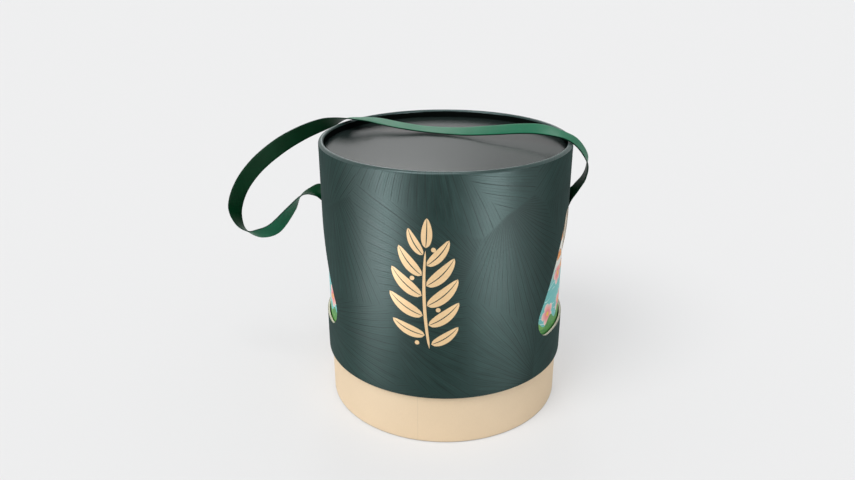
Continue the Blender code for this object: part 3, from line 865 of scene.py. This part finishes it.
# Rounded oblong section of the strap, once round: places across it, and through it for each thickness
def strapSection(thickness):
    flat = 0.5 * strap["width"] - strap["edgeRound"]
    corner = np.radians(np.linspace(0.0, 90.0, 4))
    side = flat + strap["edgeRound"] * np.cos(corner)
    across = np.concatenate([side, -flat * np.linspace(-1.0, 1.0, 9)[1:-1], -side[::-1]])
    rise = np.concatenate([np.sin(corner), np.ones(7), np.sin(corner)[::-1]])
    sign = np.repeat((1.0, -1.0), len(rise))
    halfThick = 0.5 * thickness[:, None]
    soft = np.minimum(strap["edgeRound"], 0.8 * halfThick)
    return np.tile(across, 2) * sign, (halfThick - soft + np.tile(rise, 2) * soft) * sign


# A ribbon: its section is carried along the centre line, flat along the width direction
def ribbonPiece(name, places, widths, thickness, endWays, node, body=None):
    along = np.gradient(places, axis=0)
    along[0], along[-1] = endWays
    normal = unit(np.cross(unit(along), widths))
    across, height = strapSection(thickness)
    ring = places[:, None] + across[:, None] * widths[:, None] + height[..., None] * normal[:, None]
    ring = np.concatenate([ring, ring[:, :1]], 1)
    across = np.append(across, across[0])
    travelled = np.concatenate([[0.0], np.cumsum(np.linalg.norm(np.diff(places, axis=0), axis=1))])
    uv = np.stack(np.broadcast_arrays(across, travelled[:, None]), -1)
    # a material each for the face, the rounded edges and the back; edges and back are darker copies of the
    # face's green, painted shade
    count, half = len(across), (len(across) - 1) // 2
    isEdge = np.abs(across[:-1] + across[1:]) * 0.5 > 0.5 * strap["width"] - 0.9 * strap["edgeRound"]
    kind = np.tile(np.where(isEdge, 1, np.where(np.arange(count - 1) >= half, 2, 0)), len(places) - 1)
    quads = gridQuads(len(places), count)
    sheets = [sheet(ring, uv, quads[kind == slot], slot=slot) for slot in (0, 1, 2)]
    # end caps: each half of the section's ring faces the other half
    for row in (0, len(places) - 1):
        index = row * count + np.roll(np.arange(count - 1), -1)
        front, back = index[:half], index[half:][::-1]
        sheets.append(sheet(ring, uv, np.stack([front[:-1], front[1:], back[1:], back[:-1]], 1), slot=1))
    return sewnPiece(name, sheets, ("strap", "strapEdgePaintedShade", "strapBackPaintedShade"), body, node,
                     uvName="ribbon", sharpDegrees=50.0)


# centre line and width direction along the whole strap, from slot to slot
outlets = [wrapRound(math.radians(turn), cover["radius"] + strap["exit"], strap["level"])
           for turn in strap["slotTurnDegrees"].values()]
route = np.array(strapRoute)
places = route[:, :3] / 1000.0 * (cover["radius"], cover["radius"], cover["height"])
stations = np.concatenate([outlets[:1], places, outlets[1:]])
widths = unit(np.concatenate([[(0.0, 0.0, 1.0)], route[:, 3:] / 10.0, [(0.0, 0.0, 1.0)]]))
start, end = stations[spanStations]
axis = unit(end - start)
for station in spanStations:
    widths[station] = unit(widths[station] - axis * (widths[station] @ axis))
line = curveThrough(stations), unit(curveThrough(widths))
line = (*line, np.full(len(line[0]), strap["thickness"]))
firstCut, secondCut = (cut * strap["samples"] for cut in strapCuts)
firstWay, secondWay = (line[0][cut + 1] - line[0][cut - 1] for cut in (firstCut, secondCut))

tab = strapTab(-1)
left = ribbonPiece("strapLeft", *[np.concatenate([a, b[:firstCut + 1]]) for a, b in zip(tab, line)],
                   (tab[0][1] - tab[0][0], firstWay), "strap_left_end")
ribbonPiece("strapMiddle", *[part[firstCut:secondCut + 1] for part in line], (firstWay, secondWay),
            "strap_span", "strap_span")
tab = strapTab(1)
right = ribbonPiece("strapRight", *[np.concatenate([b[secondCut:], a[::-1]]) for a, b in zip(tab, line)],
                    (secondWay, tab[0][0] - tab[0][1]), "strap_right_end")
tuple(start + axis * strapBendReach)
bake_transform(left)
tuple(end - axis * strapBendReach)
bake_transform(right)
print("strap made")

# Foil stamp on the front: an upright sprig of broad leaves with berries, in millimetres from the stamp's
# middle column and from the table
foil = {
    "proud": 0.00006,
    "sunk": 0.00002,
    "middleTurnDegrees": -2.6,
    "steps": 16,
    "foot": (5.0, 105.0),
    "headingDegrees": 99.0,
    "bendDegrees": -14.0,
    "stemLength": 96.0,
    "stemWidth": 2.8,
    "leaves": 10,
    "leafLength": (29.0, 11.0),  # at the foot, and how much longer in the middle
    "leafTaper": 4.0,  # how much shorter at the tip
    "leafWidthShare": 0.32,
    "leafSpread": (80.0, 48.0),  # degrees off the stem, at the foot and at the tip
    "leafBend": -34.0,
    "leafClear": 2.4,
    "slit": 1.0,
    "tipLeaf": (27.0, 9.6, 6.0),
    "berryRadius": 2.1,
    "berryReach": 0.36,  # share of its leaf's length
    "berryLean": 6.0,
    "berryEvery": 3,
    "endWidth": 0.02,
}


# A tapered stroke along an arc: its half width swells as sin(pi t) to a power, fullest near its start
def foilStroke(x, z, heading, length, width, bend, blunt=0.62):
    t = np.linspace(0.0, 1.0, foil["steps"] + 1)
    angle = np.radians(heading + bend * t)
    middle = 0.5 * (angle[1:] + angle[:-1])
    steps = length / foil["steps"] * np.stack([np.cos(middle), np.sin(middle)], 1)
    centre = (x, z) + np.concatenate([[(0.0, 0.0)], np.cumsum(steps, 0)])
    half = 0.5 * width * np.sin(math.pi * t ** 0.8) ** blunt + foil["endWidth"]
    aside = np.stack([-np.sin(angle), np.cos(angle)], 1) * half[:, None]
    return centre + aside, centre - aside


# Leaves stand left and right of the stem in turn, and lean more to its tip. A berry sits in some forks.
def foilPlan():
    stem = (*foil["foot"], foil["headingDegrees"], foil["stemLength"], foil["stemWidth"], foil["bendDegrees"])
    spine = 0.5 * sum(foilStroke(*stem))
    leaves, berries = [], []
    for i in range(foil["leaves"]):
        t = (i + 0.4) / foil["leaves"]
        x, z = (np.interp(t * foil["steps"], np.arange(len(spine)), column) for column in spine.T)
        side = 1.0 if i % 2 else -1.0
        heading = foil["headingDegrees"] + foil["bendDegrees"] * t
        spread = foil["leafSpread"][0] + (foil["leafSpread"][1] - foil["leafSpread"][0]) * t
        length = foil["leafLength"][0] + foil["leafLength"][1] * math.sin(math.pi * t) - foil["leafTaper"] * t
        width, bend = foil["leafWidthShare"] * length, side * foil["leafBend"]
        leaves.append((x, z, heading + side * spread, length, width, bend))
        if i % foil["berryEvery"] == 0:
            way = math.radians(heading - side * (spread - foil["berryLean"]))
            reach = foil["berryReach"] * length
            berries.append((x + reach * math.cos(way), z + reach * math.sin(way)))
    leaves.append((*spine[-1], foil["headingDegrees"] + foil["bendDegrees"], *foil["tipLeaf"]))
    return stem, leaves, berries


def foilSheets():
    sheets = []
    shift = math.radians(foil["middleTurnDegrees"]) * cover["radius"]
    radii = cover["radius"] + np.repeat((foil["proud"], -foil["sunk"], foil["proud"]), (2, 2, 1))

    # a strip's thin section runs left to right outside and back inside
    def addStrip(left, right):
        flat = np.stack([left, right, right, left, left], 1) * millimetre + (shift, 0.0)
        ends = np.arange(4) + np.array([[0], [5 * (len(left) - 1)]])
        place = wrapRound(flat[..., 0] / cover["radius"], radii, flat[..., 1])
        sheets.append(sheet(place, flat, np.concatenate([gridQuads(len(left), 5), ends])))

    stem, leaves, berries = foilPlan()
    addStrip(*foilStroke(*stem, blunt=0.3))
    for x, z, heading, length, width, bend in leaves:
        # a leaf starts a little away from its stem, and is split along its midrib
        x += foil["leafClear"] * math.cos(math.radians(heading))
        z += foil["leafClear"] * math.sin(math.radians(heading))
        upper, lower = foilStroke(x, z, heading, length, width, bend)
        centre = 0.5 * (upper + lower)
        slit = (upper - centre) * foil["slit"] / width
        addStrip(upper, centre + slit)
        addStrip(centre - slit, lower)
    angle = np.linspace(0.0, math.pi, 13)
    across, up = foil["berryRadius"] * np.cos(angle), foil["berryRadius"] * np.sin(angle) + foil["endWidth"]
    for berry in berries:
        addStrip(berry + np.stack([across, up], 1), berry + np.stack([across, -up], 1))
    return sheets


sewnPiece("foilSprig", foilSheets(), ("foil",), "cover", None)
print("foil stamp made")

# Floor, world and lamps
studio = {
    "floorReach": 9.0,
    "floorColour": (0.624, 0.624, 0.624),
    "background": (0.855, 0.855, 0.855),
    "plainShare": 0.36,  # share of the floor's look that holds no shadow
    "plainColour": (0.99, 0.99, 0.99),
    "fillColour": (0.97, 0.98, 1.0),
    "fill": 0.62,
}
# Lamps far off, as large soft discs: (name, turn from the front, elevation, strength, disc angle), in degrees
lamps = (
    ("keyLamp", -38.0, 50.0, 1.45, 30.0),
    ("topLamp", 5.0, 78.0, 0.80, 22.0),
    ("backLamp", 190.0, 28.0, 0.38, 18.0),
)
# Strip lights that stand on the floor and only make gloss, for the wrap's two soft bands:
# (name, turn in degrees, distance, width, height, watts, beam in degrees)
strips = (
    ("leftStrip", -41.0, 0.64, 0.26, 0.34, 4.2, 130.0),
    ("rightStrip", 43.0, 0.61, 0.26, 0.34, 3.9, 130.0),
    ("lowLeftStrip", -52.0, 0.36, 0.26, 0.12, 1.1, 150.0),
    ("lowRightStrip", 46.0, 0.36, 0.22, 0.12, 0.6, 150.0),
)


# 1 for the rays that show the background: straight from the camera, off gloss or through glass
def seenRay(tree):
    path = addNode(tree, "LightPath")
    seen = mathOf("MAXIMUM", path["Is Camera Ray"], path["Is Transmission Ray"])
    return mathOf("MAXIMUM", seen, path["Is Glossy Ray"])


def addLamp(name, kind, energy, turn, elevation, distance, lift=0.0):
    data = bpy.data.lights.new(name, kind)
    data.energy = energy
    lamp = newObject(name, data)
    t, e = math.radians(turn), math.radians(elevation)
    towards = Vector((math.sin(t) * math.cos(e), -math.cos(t) * math.cos(e), math.sin(e)))
    lamp.location = towards * distance + Vector((0.0, 0.0, lift))
    lamp.rotation_euler = towards.to_track_quat("Z", "Y").to_euler()
    return lamp, data


far = studio["floorReach"]
floorMesh = bpy.data.meshes.new("floor")
corners = [(-far, -far, 0.0), (far, -far, 0.0), (far, far, 0.0), (-far, far, 0.0)]
floorMesh.from_pydata(corners, [], [(0, 1, 2, 3)])
mat, tree, shader = newMaterial("floorPaper", 1.0, 0.0, {"Base Color": studio["floorColour"]})
plain = addNode(tree, "Emission", {"Color": studio["plainColour"], "Strength": 1.0})[0]
share = seenRay(tree) * studio["plainShare"]
mixed = addNode(tree, "MixShader", {0: share, 1: NodeValue(shader.outputs[0]), 2: plain})[0]
mixed.to(tree.nodes["Material Output"].inputs["Surface"])
floorMesh.materials.append(mat)
floor = newObject("floor", floorMesh)

scene.world = bpy.data.worlds.new("studio")
scene.world.use_nodes = True
tree = scene.world.node_tree
tree.nodes.clear()
fill = addNode(tree, "Background", {"Color": studio["fillColour"], "Strength": studio["fill"]})[0]
back = addNode(tree, "Background", {"Color": studio["background"], "Strength": 1.0})[0]
mixed = addNode(tree, "MixShader", {0: seenRay(tree), 1: fill, 2: back})[0]
mixed.to(tree.nodes.new("ShaderNodeOutputWorld").inputs[0])

for name, turn, elevation, strength, spread in lamps:
    addLamp(name, "SUN", strength, turn, elevation, 2.0)[1].angle = math.radians(spread)
for name, turn, distance, width, height, watts, beam in strips:
    lamp, data = addLamp(name, "AREA", watts, turn, 0.0, distance, 0.5 * height)
    lamp.visible_diffuse = False
    data.shape = "RECTANGLE"
    data.size, data.size_y = width, height
    data.spread = math.radians(beam)
print("studio made")
